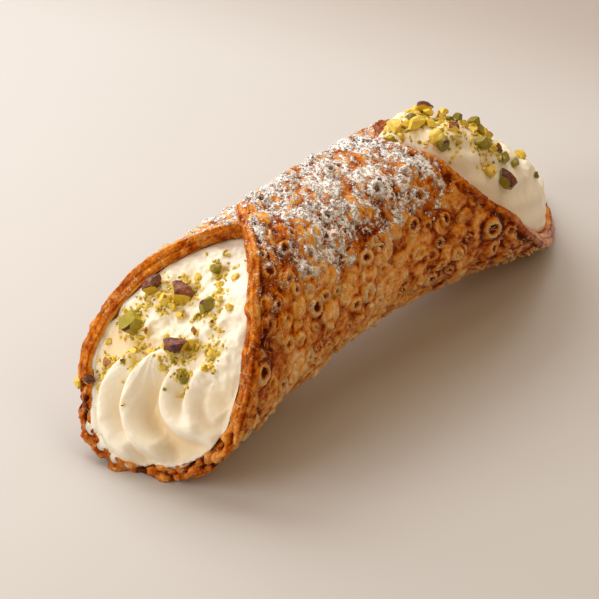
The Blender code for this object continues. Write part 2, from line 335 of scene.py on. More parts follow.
def kernel_skin():
    """Thin wrinkled skin, purple to red brown."""
    n = Nodes("pistachio_skin")
    streak = n.math('ADD', n.noise(500.0, 4.0, 0.65), n.math('MULTIPLY', n.attribute("tint"), 0.3))
    color = n.ramp(streak, ((0.42, (0.022, 0.004, 0.006)), (0.58, (0.085, 0.014, 0.012)),
                            (0.74, (0.230, 0.055, 0.010)), (0.92, (0.42, 0.22, 0.03))))
    n.bump(n.noise(1300.0, 4.0), 0.0004, 0.7)
    return n.finish(color, 0.42)


def icing_sugar():
    n = Nodes("icing_sugar")
    color = n.mix(n.noise(900.0), (0.96, 0.95, 0.94), (1.0, 0.99, 0.98))
    n.bump(n.noise(3500.0), 0.0002, 0.5)
    material = n.finish(color, 0.75, Subsurface_Weight=1.0, Subsurface_Scale=0.003)
    n.shader.inputs["Subsurface Radius"].default_value = (1.0, 1.0, 1.0)
    return material


def table_top():
    n = Nodes("table_top")
    color = n.mix(n.noise(9.0, 3.0), (0.545, 0.543, 0.541), (0.565, 0.563, 0.561))
    # Painted shade: the top darkens farther out towards +X and a little +Y, standing in for the fall of the
    # light.
    away = n.tree.nodes.new("ShaderNodeVectorMath")
    away.operation = 'DOT_PRODUCT'
    n.link(n.coords, away.inputs[0])
    away.inputs[1].default_value = (0.93, 0.36, 0.0)
    color = n.mix(n.remap(away.outputs["Value"], 0.080, 0.138), color, (0.425, 0.390, 0.368))
    n.bump(n.noise(260.0, 3.0), 0.0001, 0.15)
    return n.finish(color, 0.75, Specular_IOR_Level=0.2)


# --- Pastry shell -------------------------------------------------------------

ROWS, OUTER, INNER, ROUND = 284, 270, 30, 15
STRIDE = OUTER // INNER
ARC = 17.5      # millimetres of surface to a radian of turn


def blister_seeds(rng, tries, spacing):
    """Random centres over the unrolled pastry, no two closer than asked."""
    arc = rng.uniform(-math.radians(198), math.radians(198), tries) * ARC
    x = rng.uniform(-62, 68, tries)
    turn = arc / ARC
    inside = (x > rim_x(LOW, turn) + 1.0) & (x < rim_x(HIGH, turn) - 1.0)
    arc, x = arc[inside], x[inside]
    reach = spacing(arc / ARC, x, rng.uniform(0, 1, len(x)))
    kept = np.zeros((0, 3))
    for a, b, r in zip(arc, x, reach):
        if r <= 0:
            continue
        gap = np.hypot(kept[:, 0] - a, kept[:, 1] - b)
        if not np.any(gap < (kept[:, 2] + r) / 2):
            kept = np.vstack([kept, (a, b, r)])
    return kept


def over_domes(seeds, strengths, arc, x):
    """For each point: the dome it stands on, as share of its radius and strength."""
    share = np.full(x.shape, 9.0)
    strength = np.zeros(x.shape)
    for (a, b, across), force in zip(seeds, strengths):
        rows = np.nonzero(np.abs(arc[:, 0] - a) < across + 2.5)[0]
        if not len(rows):
            continue
        part = slice(rows[0], rows[-1] + 1)
        d = np.hypot(arc[part] - a, x[part] - b) / (across * 0.58)
        closer = d < share[part]
        share[part] = np.where(closer, d, share[part])
        strength[part] = np.where(closer, force, strength[part])
    return share, strength


def blistered(turn, x):
    """Height in millimetres, with painted highlight on blister tops, edges and ring walls and painted shade in
    the hollows round them.
    """
    rng = np.random.default_rng(11)
    arc = turn * ARC
    place = np.stack([x, arc, 0 * x], axis=-1)
    warp_a = noise_at(place, 6.0, 2) * 0.9
    warp_b = noise_at(place, 6.0, 2, 9.1) * 0.9

    # Pillows that cover the whole crust, roughly in rows round the tube.
    pillows = blister_seeds(rng, 9000, lambda t, b, u: 3.0 + 9.0 * u ** 2.3)
    pillows[:, 1] = pillows[:, 1] * 0.75 + 0.25 * np.round(pillows[:, 1] / 5.0) * 5.0
    share, lift = over_domes(pillows, rng.uniform(0.2, 1.0, len(pillows)), arc + warp_a, x + warp_b)
    dome = np.clip(1 - share ** 2, 0, 1)
    height = 1.15 * lift * dome ** 0.6 - 0.32
    # Painted shade in the valleys between pillows; painted highlight on their tops and pale edges.
    hollow_shade = 0.55 * (1 - smooth_step(dome / 0.35)) * (0.3 + 0.7 * lift)
    crest = 0.12 * smooth_step((dome - 0.3) / 0.6) * lift
    skirt = np.exp(-((share - 0.86) / 0.09) ** 2) * smooth_step(noise_at(place, 2.4, 2, 5.2) * 2.2 + 0.4)
    crest = np.maximum(crest, 1.1 * skirt * lift)
    height = height + 0.22 * skirt * lift

    # Small burst blisters: a raised ring round a hollow, with painted highlight on the ring wall and painted
    # shade in the hollow and the moat round it.
    def ring_size(t, b, u):
        low = bump(b - rim_x(LOW, t), 8.0, 11.0)
        high = bump(rim_x(HIGH, t) - b, 8.0, 13.0)
        under = smooth_step((110 - np.abs(np.degrees(t))) / 50)
        share = np.clip(0.10 + 0.5 * low + 0.6 * high * under + 0.65 * under, 0, 1)
        return np.where(rng.uniform(0, 1, len(b)) < share, 1.7 + 2.3 * u ** 1.3, -1)

    rings = blister_seeds(rng, 9000, ring_size)
    burst = rng.uniform(0.0, 1.1, len(rings)).clip(0, 1)
    share, burst = over_domes(rings, burst, arc + 0.7 * warp_a, x + 0.7 * warp_b)
    hollow = burst * smooth_step(noise_at(place, 3.0, 1, 6.6) * 2 + 0.7)
    wall = np.exp(-((share - 0.62) / 0.16) ** 2) * burst
    wall = wall * (0.8 + 0.2 * smooth_step(noise_at(place, 1.5, 1, 2.2) * 1.6 + 0.6))
    hole = np.exp(-(share / 0.44) ** 4) * hollow
    moat = np.exp(-((share - 1.16) / 0.2) ** 2) * burst
    height = height * (1 - 0.4 * burst) + 0.80 * wall - 0.50 * hole + 0.20 * burst * np.exp(-(share / 0.7) ** 4)
    crest = np.maximum(crest * (1 - hole), 1.15 * wall)
    hollow_shade = np.maximum(np.maximum(hollow_shade * (1 - 0.8 * wall), 1.5 * hole), 0.8 * moat)

    # Grooves round the tube towards the high mouth, and fine pimples, with painted shade in the grooves and
    # dips and painted highlight on the pimple tops.
    rows = np.cos((x + warp_b * 1.2) * math.tau / 4.7) * smooth_step((x - 8) / 16)
    height = height + 0.22 * rows
    hollow_shade = hollow_shade + 0.25 * smooth_step(-rows - 0.3)
    fine = noise_at(place, 1.2, 2, 4.4)
    height = height + 0.14 * fine
    crest = crest + 0.25 * smooth_step(fine * 1.6)
    hollow_shade = hollow_shade + 0.35 * smooth_step(-fine * 1.8 - 0.2)
    return height, np.clip(crest, 0, 1.2), np.clip(hollow_shade, 0, 1.5)


def pastry_marks(turn, x):
    """Where the crust is darker, from darker fry at the rims and painted shade beside the rims and on the -Y
    side, and where sugar fell on it.
    """
    degrees = np.degrees(turn)
    from_low, from_high = x - rim_x(LOW, turn), rim_x(HIGH, turn) - x
    fry_and_shade = 0.70 * bump(from_low, 4.0, 5.0) * bump(degrees, 125, 45)
    fry_and_shade = fry_and_shade + 0.45 * bump(np.minimum(from_low, from_high), 1.6, 1.1)
    fry_and_shade = fry_and_shade + 0.45 * bump(from_high, 0.8, 2.6) * bump(degrees, 100, 90)
    fry_and_shade = fry_and_shade + 0.12 * bump(from_high, 3.0, 6.0) * bump(degrees, 110, 75)
    fry_and_shade = fry_and_shade + 0.30 * bump(from_high, 8.0, 12.0) * bump(degrees, 80, 50)
    fry_and_shade = fry_and_shade + 0.20 * bump(degrees, 60, 30) * bump(x, 20, 22)
    upness = -np.cos(turn)
    band = smooth_step((upness - 0.15) / 0.65) * bump(x, -6.0, 46.0)
    band = band + 0.36 * smooth_step((upness + 0.55) / 0.6) * bump(x, -4, 38)
    place = np.stack([x, turn * ARC, 0 * x], axis=-1)
    clump = (noise_at(place, 6.0, 2, 1.5) * 0.45 + noise_at(place, 2.0, 2, 2.5) * 0.6
             + noise_at(place, 0.9, 1, 3.5) * 0.6)
    sugar = smooth_step((clump + 1.25 * band - 0.96) / 0.8)
    return fry_and_shade, sugar


def make_pastry(material):
    limit = math.radians(180 + LAP_TURN)
    edge = np.array((0.0, 0.15, 0.45, 0.95)) / (ARC + 1)
    middle = np.linspace(-limit + 1.6 / ARC, limit - 1.6 / ARC, ROWS + 1 - 2 * len(edge))
    turns = np.r_[-limit + edge, middle, limit - edge[::-1]]
    from_edge = np.minimum(turns + limit, limit - turns) * ARC
    body = 0.25 + 0.75 * np.sqrt(1 - (1 - np.clip(from_edge / 1.4, 0, 1)) ** 2)
    turn = turns[:, None]
    share = np.linspace(-1, 1, OUTER + 1)[None, :]
    share = (1 + np.sin(share * math.pi / 2 * 0.62) / math.sin(math.pi / 2 * 0.62)) / 2
    low, high = rim_x(LOW, turn), rim_x(HIGH, turn)
    x = low * (1 - share) + high * share
    wide = turn + 0 * x

    height, crest, hollow_shade = blistered(wide, x)
    fry_and_shade, sugar = pastry_marks(wide, x)
    from_rim = np.minimum(x - low, high - x)
    calm = 0.25 + 0.75 * smooth_step((from_rim - 0.5) / 1.2)
    hem = np.where(x < 0, 0.45, 0.25) * smooth_step((190 - np.degrees(wide)) / 30)
    height = height * calm + hem * (bump(from_rim, 0.5, 0.8) - bump(from_rim, 2.1, 0.6))
    height = np.minimum(height, 1.05 + 0.5 * smooth_step((30 - np.abs(x)) / 20))
    floor_side = np.abs(np.degrees(wide)) < 26
    height = np.where(floor_side, np.minimum(height, 0.35), height)
    skin = tube_radius(wide, x) + lap_climb(wide)
    outer_r = skin + height - WALL / 2 * (1 - body[:, None])
    outer = on_tube(wide, outer_r, x)
    inner_x = x[:, ::STRIDE]
    inner_r = (skin[:, ::STRIDE] - WALL + WALL / 2 * (1 - body[:, None]))
    inner = on_tube(wide[:, ::STRIDE], inner_r, inner_x)

    # Each rim is a pair of rounded beads with a groove between them; under the
    # low mouth it is one crumbly lip.
    crumble = smooth_step((70 - np.abs(np.degrees(turns) - 8)) / 30)
    def rim_rows(mouth):
        a, b = (outer[:, 0], inner[:, 0]) if mouth == LOW else (outer[:, -1], inner[:, -1])
        along = np.gradient(a, axis=0)
        across = a - b
        out = np.cross(along, across)
        out /= np.linalg.norm(out, axis=1)[:, None]
        out *= np.sign(out[:, :1]) * (-1 if mouth == LOW else 1)
        steps = np.arange(1, ROUND) / ROUND
        rows = []
        loose = np.maximum(crumble, 0.7) if mouth == LOW else 0.8
        for w in steps:
            twin = 0.75 * abs(math.sin(2 * math.pi * w)) ** 0.6
            single = 0.55 * math.sin(math.pi * w) ** 0.5
            bead = (twin + (single - twin) * loose + 0.15) * body
            rows.append(a * (1 - w) + b * w + out * bead[:, None])
        return np.stack(rows, axis=1)

    low_rim, high_rim = rim_rows(LOW), rim_rows(HIGH)
    loop = np.concatenate([outer, high_rim, inner[:, ::-1], low_rim[:, ::-1]], axis=1)
    rows, columns = loop.shape[:2]

    # Rough, crumbly lips under both mouths.
    rim_mark = np.zeros((rows, columns))
    o, i = OUTER + 1, INNER + 1
    rim_mark[:, o:o + ROUND - 1] = 1
    rim_mark[:, o + ROUND - 1 + i:] = 1
    rim_mark[:, :o] = np.maximum(0, 1 - from_rim / 1.2)
    degrees = np.degrees(turns)[:, None]
    crumble = np.where(loop[..., 0] < 0, np.maximum(crumble, 0.14)[:, None], 0.05)
    rough = rim_mark * crumble
    rough[:, :o] = np.maximum(rough[:, :o], np.clip(1 - from_rim / 5.0, 0, 1) * crumble[:, :o] * 0.6)
    across = np.zeros((rows, columns))
    across[:, :o] = -from_rim
    across[:, o:o + ROUND - 1] = WALL * np.arange(1, ROUND) / ROUND
    across[:, o + ROUND - 1:o + ROUND - 1 + i] = WALL + from_rim[:, ::-STRIDE]
    across[:, o + ROUND - 1 + i:] = WALL * (1 - np.arange(1, ROUND) / ROUND)
    rng = np.random.default_rng(21)
    wide_arc = (turns * ARC)[:, None] + 0 * across
    lumps = np.zeros((rows, columns))
    for mouth in (LOW, HIGH):
        spots = np.stack([rng.uniform(-62, 62, 1500), rng.uniform(-3, 5.5, 1500),
                          rng.uniform(1.2, 2.8, 1500)], axis=1)
        kept = spots[:1]
        for spot in spots:
            if np.all(np.hypot(*(kept[:, :2] - spot[:2]).T) > (kept[:, 2] + spot[2]) * 0.36):
                kept = np.vstack([kept, spot])
        share, force = over_domes(kept, rng.uniform(0.3, 1.0, len(kept)),
                                  wide_arc + noise_at(loop, 2.0, 2, 3.3) * 0.4, across)
        near = loop[..., 0] < 0 if mouth == LOW else loop[..., 0] > 0
        lumps = np.where(near, force * np.clip(1 - share ** 2, 0, 1) ** 0.6, lumps)
    fine = noise_at(loop, 1.1, 2, 7.0)
    centre = on_tube(turns[:, None] + 0 * loop[..., 0], 0.0, loop[..., 0])
    radial = loop - centre
    radial /= np.maximum(np.linalg.norm(radial, axis=-1), 0.1)[..., None]
    side = np.where(loop[..., 0] > 0, 1.0, -1.0)[..., None] * np.array((1.0, 0, 0))
    lift = (lumps * 1.5 - 0.45) * (rough + 0.12 * rim_mark) + fine * (0.14 * rim_mark + 0.30 * rough)
    out = np.clip(1 - across / WALL * 2, -1, 1)
    loop = loop + radial * (lift * 0.8 * out)[..., None] + side * (lift * 1.1 * rim_mark)[..., None]
    jag = lumps - 0.30

    def spread(values, rim_value, inner_value):
        full = np.empty((rows, columns))
        full[:, :o] = values
        full[:, o:o + ROUND - 1] = rim_value
        full[:, o + ROUND - 1:o + ROUND - 1 + i] = inner_value
        full[:, o + ROUND - 1 + i:] = rim_value
        return full

    # Painted highlight on blister tops and crumbly lumps; painted shade in the hollows, in the groove between
    # the rim beads and in the crevices of the crumbly lip; the rims and the inner face are darker.
    crest_highlight_all = spread(crest * calm, 0.12, 0.2)
    hollow_shade_all = spread(hollow_shade * calm, 0.0, 0.0)
    groove = 0.8 * (np.abs(np.sin(2 * math.pi * np.arange(1, ROUND) / ROUND)) < 0.5)
    hollow_shade_all[:, o:o + ROUND - 1] = groove * 0.4
    hollow_shade_all[:, o + ROUND - 1 + i:] = 0.25 * groove * (1 - crumble[:, -ROUND + 1:])
    hollow_shade_all += rough * smooth_step(-jag * 4.0)
    crest_highlight_all += rough * smooth_step(jag * 1.6) * 0.35
    fry_and_shade_all = spread(fry_and_shade, 0.90, 0.6) + 0.25 * rough
    sugar = sugar * (0.85 + 0.25 * crest) * (1 - 0.5 * hollow_shade)
    rim_sugar = 0.02 * smooth_step((degrees - 60) / 40)
    sugar_all = spread(sugar, rim_sugar, 0.0)

    faces = grid_faces(rows, columns, closed_columns=True)
    for row, flip in ((0, False), (rows - 1, True)):
        base = row * columns
        back = base + o + ROUND - 1 + i - 1      # the inner skin runs backwards
        for k in range(INNER):
            strip = [base + k * STRIDE + s for s in range(STRIDE + 1)]
            strip += [back - (k + 1), back - k]
            faces.append(tuple(strip if flip else strip[::-1]))
        for first, last, a, b in ((o, o + ROUND - 2, o - 1, o + ROUND - 1),
                                  (columns - 1, columns - ROUND + 1, 0, back - base)):
            step = 1 if last > first else -1
            strip = [base + a] + [base + c for c in range(first, last + step, step)] + [base + b]
            faces.append(tuple(strip))
    points = laid_down(loop).reshape(-1, 3)
    points[:, 2] = np.maximum(points[:, 2], 0.02 * MM)
    obj = make_object("pastry", points, faces, material)
    for name, values in (("crest", crest_highlight_all), ("hollow_shade", hollow_shade_all), ("fry_and_shade", fry_and_shade_all),
                         ("sugar", sugar_all)):
        add_attribute(obj, name, np.clip(values, 0, 1.5))
    face_outward(obj)
    return obj


# --- Ricotta cream ------------------------------------------------------------

SECTORS, LOW_RINGS, HIGH_RINGS = 400, 100, 80
WALL_STEPS = (0.012, 0.04, 0.15, 0.35, 0.65, 0.85, 0.96, 0.988)
CREAM_CLEAR = 0.55
# Crests of the piped ridges: centre (y, height), radius, first and last angle
# from +Y in degrees, and how tall each ridge is.
LOW_CRESTS = (
    ((-0.2, 12.8), 9.1, -78, 50, 0.95),
    ((-6.0, 14.7), 9.3, -78, 68, 1.10),
    ((-9.7, 17.6), 6.1, -112, 62, 0.95),
    ((-16.5, 18.6), 7.7, -80, 74, 0.90),
    ((-17.1, 19.4), 4.3, -55, 74, 0.60),
)


def cream_radius(turn, x):
    duck = 1.0 - smooth_step((np.degrees(turn) - 138.0) / 20.0)
    return tube_radius(turn, x) - WALL - CREAM_CLEAR + lap_climb(turn) * duck


def cream_edge_x(mouth, turn):
    edge = rim_x(mouth, turn)
    share = smooth_step((np.abs(np.degrees(turn)) - 150.0) / 30.0) / 2
    limit = math.radians(180 + LAP_TURN)
    other = np.clip(turn - np.copysign(math.tau, turn), -limit, limit)
    edge = edge + share * (rim_x(mouth, other) - edge)
    degrees = np.degrees(turn)
    if mouth == LOW:
        back = 0.05 - 0.75 * np.cos(turn) - 0.45 * np.sin(turn) - 0.8 * bump(degrees, 5, 55)
    else:
        back = 0.4 + 1.6 * bump(degrees, -35, 60)
    return edge + back if mouth == LOW else edge - back


def low_relief(y, z):
    """Piped ridges: a short steep face outside each rounded crest, a long slope inside."""
    total = np.full_like(y, 12.0)
    for (cy, cz), radius, first, last, tall in LOW_CRESTS:
        middle, half = (first + last) / 2, (last - first) / 2
        angle = (np.degrees(np.arctan2(z - cz, y - cy)) - middle + 180) % 360 - 180
        beyond = np.maximum(0, np.abs(angle) - half)
        out = np.hypot(y - cy, z - cz) - radius
        width = np.where(out > 0, 2.5, 5.0)
        profile = np.cos(math.pi / 2 * np.clip(out / width, -1, 1))
        total += np.exp(6.0 * tall * profile * (1 - smooth_step(beyond / 36)))
    return np.log(total) / 6.0


def high_relief(y, z):
    total = np.zeros_like(y)
    for height, depth in ((33.0, 0.7), (28.0, 0.5), (19.0, 0.8), (10.5, 0.9)):
        total -= depth * np.exp(-((z - height - 0.10 * y) / 1.5) ** 2)
    return total


def make_cream(material):
    turn = np.linspace(-math.pi, math.pi, SECTORS, endpoint=False) + 1e-4
    layers, dusts, painted_ridge_shades = [], [], []
    for mouth, count, facing, dome, power in (
            (LOW, LOW_RINGS, LOW_FACING, 2.6, 4.0), (HIGH, HIGH_RINGS, HIGH_FACING, 10.8, 9.0)):
        edge = cream_edge_x(mouth, turn)
        if mouth == LOW:
            rim = on_tube(turn, cream_radius(turn, edge), edge)
            hollow = 1.0 - low_relief(rim[:, 1], rim[:, 2])
            edge = edge + 0.6 * hollow * smooth_step((17 - rim[:, 2]) / 8)
            scallop = noise_at(rim, 3.0, 2, 6.0) * bump(np.degrees(turn), -40, 70)
            edge = edge - 1.5 * scallop
        waves = np.fft.rfft(edge)
        order = np.arange(len(waves))
        share = (np.arange(count + 1) / count)[:, None]
        x = np.array([np.fft.irfft(waves * s ** (order * 0.9), SECTORS) for s in share[:, 0]])
        over = 0.3 * bump(np.degrees(turn), -55, 55) + 0.9 * scallop if mouth == LOW else 0.0
        radius = (cream_radius(turn, edge) + 0.35 + over)[None, :] * share
        points = on_tube(np.broadcast_to(turn, x.shape), radius, x)
        rise = dome * (1 - share ** power)
        if mouth == HIGH:
            along = (points[..., 0] - 36) * 0.45 + points[..., 1] * 0.89
            rise = rise * (1 - 0.52 * smooth_step((along + 11.0) / 22))
        points = points + facing * rise[..., None]
        y, z = points[..., 1], points[..., 2]
        if mouth == LOW:
            ridges = low_relief(y, z)
            outside = smooth_step((np.hypot(y + 0.2, z - 12.8) - 7.0) / 4.5)
            ridges = ridges + (0.55 - ridges) * outside * smooth_step((0.55 - ridges) / 0.3)
            lower = smooth_step((27 - z) / 6)
            fade = 1 - share ** 14 * 0.8
            lumps = noise_at(points, 4.2, 3, 3.0) * 1.0 * smooth_step((z - 18) / 6)
            relief = (ridges - 0.74) * 7.6 * fade * smooth_step((28 - z) / 8) + lumps * (1 - share ** 8)
            # Painted shade for the ridge slopes and valleys, growing from each ridge top down into the valley.
            crease = smooth_step((0.92 - ridges) / 0.7) * lower * fade
            clump = noise_at(points, 3.6, 2, 1.5) * 0.8 + noise_at(points, 1.3, 2, 2.5) * 0.4
            pieces = PIECES_LOW
        else:
            lumps = noise_at(points, 4.0, 3, 5.0) * 0.6 * (1 - share ** 8)
            relief = high_relief(y, z) * (1 - share ** 8) + lumps
            crease = 0 * z
            fold = np.cos((z + 0.35 * points[..., 0] + 1.5 * noise_at(points, 7.0, 2, 4.0)) * math.tau / 5.6)
            flank = smooth_step((share - 0.55) / 0.3) * (1 - share ** 24)
            points = points + ((0.45 * fold + lumps) * flank)[..., None] * np.array((0.25, -0.85, 0.3))
            clump = noise_at(points, 3.2, 2, 1.5) * 0.8 + noise_at(points, 1.3, 2, 2.5) * 0.4
            pieces, clump = PIECES_HIGH, clump - smooth_step((34 - z) / 3)
        points = points + facing * relief[..., None]
        points = points + facing * (noise_at(points, 1.6, 2, 8.0) * 0.08)[..., None]
        gap = np.full(y.shape, 99.0)
        for where, size, _, _ in [piece for piece in pieces if piece[1][0] > 1.9]:
            gap = np.minimum(gap, np.linalg.norm(points - where, axis=-1) - 0.4 * size[0])
        dust = smooth_step((0.8 * clump + 0.85 - gap / 3.6) / 0.9) * (1 - share ** 10)
        layers.append(points)
        dusts.append(dust * np.ones_like(y))
        painted_ridge_shades.append(crease)
    low, high = layers
    wall = []
    for t in WALL_STEPS:
        x = cream_edge_x(LOW, turn) * (1 - t) + cream_edge_x(HIGH, turn) * t
        wall.append(on_tube(turn, cream_radius(turn, x), x))
    grid = np.concatenate([low[1:], np.array(wall), high[:0:-1]])
    rows = len(grid)
    points = np.concatenate([grid.reshape(-1, 3), low[:1, 0], high[:1, 0]])
    faces = grid_faces(rows, SECTORS, closed_columns=True)
    pole_a, pole_b, last = len(points) - 2, len(points) - 1, (rows - 1) * SECTORS
    for c in range(SECTORS):
        d = (c + 1) % SECTORS
        faces.append((pole_a, d, c))
        faces.append((pole_b, last + c, last + d))
    obj = make_object("ricotta_filling", laid_down(points), faces, material)
    blank = np.zeros((len(WALL_STEPS), SECTORS))
    for name, (a, b) in (("dust", dusts), ("crease", painted_ridge_shades)):
        values = np.concatenate([a[1:], blank, b[:0:-1]]).ravel()
        add_attribute(obj, name, np.r_[values, a[0, 0], b[0, 0]])
    face_outward(obj)
    return obj


# --- Pistachios ---------------------------------------------------------------

# Where each piece lies, its length, width and thickness, its spin in degrees,
# and what shows on top: skin, green flesh or yellow flesh.
PIECES_LOW = (
    ((-42.0, 9.4, 29.3), (4.6, 3.1, 2.8), 20, "skin"),
    ((-39.6, 3.6, 29.4), (4.8, 4.3, 3.3), 75, "skin"),
    ((-42.6, 5.5, 28.6), (2.6, 2.2, 1.7), 10, "brown"),
    ((-46.9, 9.5, 23.6), (5.0, 4.6, 3.5), 140, "green"),
    ((-41.0, -4.4, 30.8), (4.1, 2.8, 2.5), 200, "half"),
    ((-34.0, 0.6, 33.6), (2.3, 2.1, 1.6), 100, "green"),
    ((-36.1, 3.0, 31.5), (1.6, 1.5, 1.1), 0, "yellow"),
    ((-36.2, -2.7, 32.6), (1.8, 1.7, 1.2), 60, "yellow"),
    ((-37.4, -4.0, 32.7), (1.3, 1.0, 0.8), 20, "yellow"),
    ((-34.5, -5.3, 34.7), (1.9, 1.7, 1.3), 15, "yellow"),
    ((-39.8, -8.6, 32.2), (1.9, 1.6, 1.3), 80, "yellow"),
    ((-43.0, 1.3, 27.3), (1.9, 1.5, 1.2), 60, "brown"),
    ((-43.0, 3.0, 28.2), (1.7, 1.3, 1.1), 30, "yellow"),
    ((-42.3, -2.7, 28.4), (1.6, 1.4, 1.1), 30, "green"),
    ((-43.0, -7.2, 29.8), (1.4, 1.0, 0.9), 130, "brown"),
    ((-48.5, -3.1, 24.4), (4.9, 3.9, 3.2), 310, "skin"),
    ((-44.6, -4.4, 27.3), (1.9, 1.3, 1.1), 60, "brown"),
    ((-45.7, -10.1, 25.7), (2.1, 1.9, 1.5), 80, "yellow"),
    ((-45.3, -8.5, 26.4), (1.2, 1.0, 0.8), 15, "yellow"),
    ((-50.2, -6.6, 20.9), (2.4, 2.1, 1.7), 45, "green"),
    ((-50.6, -1.5, 21.0), (1.6, 1.4, 1.1), 130, "yellow"),
    ((-51.3, 5.4, 21.1), (2.1, 1.6, 1.3), 15, "brown"),
    ((-47.6, 5.5, 24.1), (1.9, 1.2, 1.1), 15, "brown"),
    ((-48.4, 3.5, 20.8), (1.9, 1.5, 1.2), 60, "yellow"),
    ((-51.5, 11.6, 15.9), (2.2, 1.9, 1.5), 70, "brown"),
    ((-53.2, 6.3, 19.9), (1.0, 0.9, 0.7), 0, "green"),
    ((-49.4, 13.8, 18.6), (1.4, 1.3, 1.0), 40, "yellow"),
    ((-54.7, 14.5, 12.1), (2.4, 1.9, 1.6), 255, "skin"),
    ((-55.2, 16.2, 10.8), (2.3, 1.7, 1.4), 20, "yellow"),
    ((-48.5, -10.4, 24.0), (1.5, 1.3, 1.0), 20, "yellow"),
    ((-43.3, -9.2, 29.1), (1.2, 1.1, 0.8), 50, "yellow"),
    ((-57.1, 2.6, 13.8), (0.7, 0.6, 0.5), 0, "brown"),
    ((-52.7, -4.2, 18.3), (0.7, 0.7, 0.5), 0, "green"),
    ((-53.6, 6.0, 15.4), (0.7, 0.5, 0.4), 0, "brown"),
    ((-42.5, 7.3, 28.7), (1.6, 1.2, 1.0), 0, "yellow"),
    ((-46.0, -4.6, 25.3), (1.7, 1.5, 1.1), 30, "yellow"),
    ((-48.0, 6.6, 22.3), (1.6, 1.1, 1.0), 90, "yellow"),
    ((-46.5, 1.3, 24.4), (1.3, 1.0, 0.8), 90, "yellow"),
)
PIECES_HIGH = (
    ((25.9, 2.8, 40.5), (3.8, 2.4, 2.2), 160, "skin"),
    ((24.0, 3.0, 40.0), (2.5, 2.1, 1.7), 35, "yellow"),
    ((25.0, 0.7, 40.6), (2.4, 1.9, 1.5), 70, "yellow"),
    ((25.7, -2.0, 40.6), (3.4, 2.3, 2.1), 20, "brown"),
    ((25.9, -2.3, 41.5), (2.5, 1.9, 1.6), 20, "yellow"),
    ((28.0, -4.5, 40.4), (2.3, 1.9, 1.5), 35, "green"),
    ((15.2, 0.3, 41.7), (4.0, 2.6, 2.4), 80, "yellow"),
    ((16.7, -1.0, 41.9), (2.1, 1.8, 1.4), 80, "yellow"),
    ((12.4, -1.0, 40.6), (2.6, 2.1, 1.7), 10, "green"),
    ((18.0, -2.6, 42.1), (4.2, 2.5, 2.4), 290, "yellow"),
    ((19.0, -0.7, 42.4), (2.5, 1.9, 1.6), 250, "green"),
    ((20.1, -4.4, 41.9), (2.5, 1.9, 1.6), 50, "yellow"),
    ((18.8, -7.4, 41.0), (3.4, 3.4, 2.5), 120, "yellow"),
    ((19.0, -8.5, 40.5), (3.4, 2.9, 2.3), 225, "green"),
    ((22.6, -7.8, 41.5), (2.6, 2.5, 1.8), 5, "brown"),
    ((28.3, -5.9, 39.3), (1.9, 1.7, 1.3), 15, "yellow"),
    ((32.1, -5.5, 37.8), (3.0, 2.5, 2.0), 60, "green"),
    ((31.3, -5.7, 37.2), (2.1, 1.8, 1.4), 60, "yellow"),
    ((32.2, -5.7, 35.2), (3.4, 3.1, 2.4), 100, "green"),
    ((33.6, -6.7, 34.9), (2.5, 2.5, 1.8), 0, "yellow"),
    ((28.5, -10.6, 36.6), (3.6, 3.1, 2.4), 60, "green"),
    ((30.2, -6.2, 36.8), (2.1, 2.1, 1.5), 60, "yellow"),
    ((32.5, -10.8, 33.4), (2.5, 1.8, 1.5), 10, "skin"),
    ((31.0, -10.7, 34.6), (1.9, 1.7, 1.3), 10, "yellow"),
    ((32.4, -12.5, 32.2), (2.6, 1.9, 1.6), 95, "green"),
    ((43.5, -7.4, 25.3), (2.9, 2.4, 1.9), 95, "yellow"),
    ((36.2, -12.0, 29.3), (2.1, 1.7, 1.4), 95, "green"),
    ((43.4, -9.8, 22.0), (1.9, 1.2, 1.1), 35, "green"),
    ((27.6, -13.2, 31.8), (2.8, 2.5, 1.9), 15, "yellow"),
    ((30.2, -14.7, 28.9), (4.5, 2.9, 2.7), 15, "half"),
    ((27.4, -2.4, 39.1), (2.1, 1.8, 1.4), 35, "green"),
    ((33.8, -7.6, 34.8), (1.9, 1.7, 1.3), 35, "brown"),
    ((14.3, -2.2, 41.4), (1.7, 1.4, 1.1), 35, "yellow"),
)
TINTS = {"skin": (0.35, 0.6), "brown": (0.75, 0.95), "half": (0.05, 0.35),
         "green": (0.0, 0.3), "yellow": (0.5, 0.8)}


